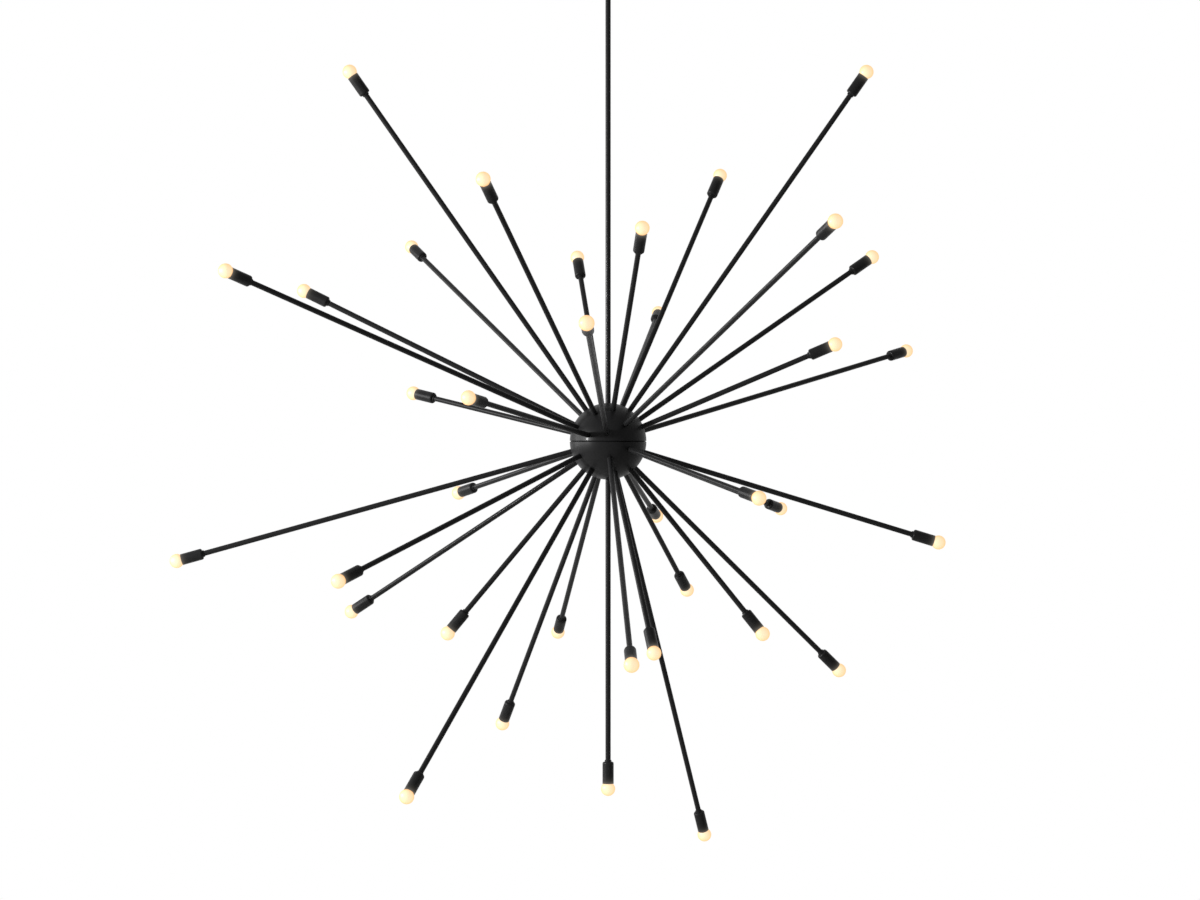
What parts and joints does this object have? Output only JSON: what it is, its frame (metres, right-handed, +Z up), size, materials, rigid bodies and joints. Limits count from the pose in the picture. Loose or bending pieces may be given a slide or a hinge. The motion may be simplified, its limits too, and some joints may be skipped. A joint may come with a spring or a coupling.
{
  "type": "sputnik chandelier",
  "caption": "Ball hub on a rigid stem with straight tube arms of three lengths radiating all round, each ending in a slim cup and a round opal lamp.",
  "frame": {"origin": "middle of the ceiling plane, on the top face of the ceiling strap, straight above the hub", "axes": "+Z up along the stem; the ceiling strap runs along X; -Y is the side that the picture shows"},
  "size_m": [1.871, 2.0981, 2.3387],
  "materials": {
    "black_powder_coat": "satin black powder coat on steel, very fine grain",
    "zinc_steel": "bright zinc-plated steel",
    "socket_phenolic": "moulded phenolic, matt",
    "opal_lamp_glass": "frosted opal globe, lit warm white",
    "lead_insulation": "extruded PVC lead insulation"
  },
  "bodies": {
    "ceiling_mount": {"ceiling_strap": "zinc_steel", "canopy": "black_powder_coat", "canopy_nipple": "zinc_steel", "strap_nut": "zinc_steel", "canopy_ring": "black_powder_coat", "upper_fork": "black_powder_coat", "upper_pin": "zinc_steel", "upper_pin_nut": "zinc_steel"},
    "swivel_link": {"swivel_link": "black_powder_coat"},
    "pendant": {"lower_fork": "black_powder_coat", "stem": "black_powder_coat", "hub_upper_half": "black_powder_coat", "hub_lower_half": "black_powder_coat", "seam_ring": "black_powder_coat", "arm_tube_01": "black_powder_coat", "arm_tube_02": "black_powder_coat", "arm_tube_03": "black_powder_coat", "arm_tube_04": "black_powder_coat", "arm_tube_05": "black_powder_coat", "arm_tube_06": "black_powder_coat", "arm_tube_07": "black_powder_coat", "arm_tube_08": "black_powder_coat", "arm_tube_09": "black_powder_coat", "arm_tube_10": "black_powder_coat", "arm_tube_11": "black_powder_coat", "arm_tube_12": "black_powder_coat", "arm_tube_13": "black_powder_coat", "arm_tube_14": "black_powder_coat", "arm_tube_15": "black_powder_coat", "arm_tube_16": "black_powder_coat", "arm_tube_17": "black_powder_coat", "arm_tube_18": "black_powder_coat", "arm_tube_19": "black_powder_coat", "arm_tube_20": "black_powder_coat", "arm_tube_21": "black_powder_coat", "arm_tube_22": "black_powder_coat", "arm_tube_23": "black_powder_coat", "arm_tube_24": "black_powder_coat", "arm_tube_25": "black_powder_coat", "arm_tube_26": "black_powder_coat", "arm_tube_27": "black_powder_coat", "arm_tube_28": "black_powder_coat", "arm_tube_29": "black_powder_coat", "arm_tube_30": "black_powder_coat", "arm_tube_31": "black_powder_coat", "arm_tube_32": "black_powder_coat", "arm_tube_33": "black_powder_coat", "arm_tube_34": "black_powder_coat", "arm_tube_35": "black_powder_coat", "arm_tube_36": "black_powder_coat", "socket_cups": "black_powder_coat", "lower_pin": "zinc_steel", "lower_pin_nut": "zinc_steel", "stem_nipple": "zinc_steel", "tie_rod": "zinc_steel", "hub_nut": "zinc_steel", "lamp_sockets": "socket_phenolic", "globe_lamps": "opal_lamp_glass", "stem_lead": "lead_insulation", "arm_leads": "lead_insulation"}
  },
  "joints": [
    {"name": "swing_sideways", "type": "hinge", "parent": "ceiling_mount", "child": "swivel_link", "pos_m": [0, 0, -0.066], "axis": [0, 1, 0], "range_deg": [-20, 20]},
    {"name": "swing_fore_aft", "type": "hinge", "parent": "swivel_link", "child": "pendant", "pos_m": [0, 0, -0.094], "axis": [1, 0, 0], "range_deg": [-20, 20]}
  ]
}
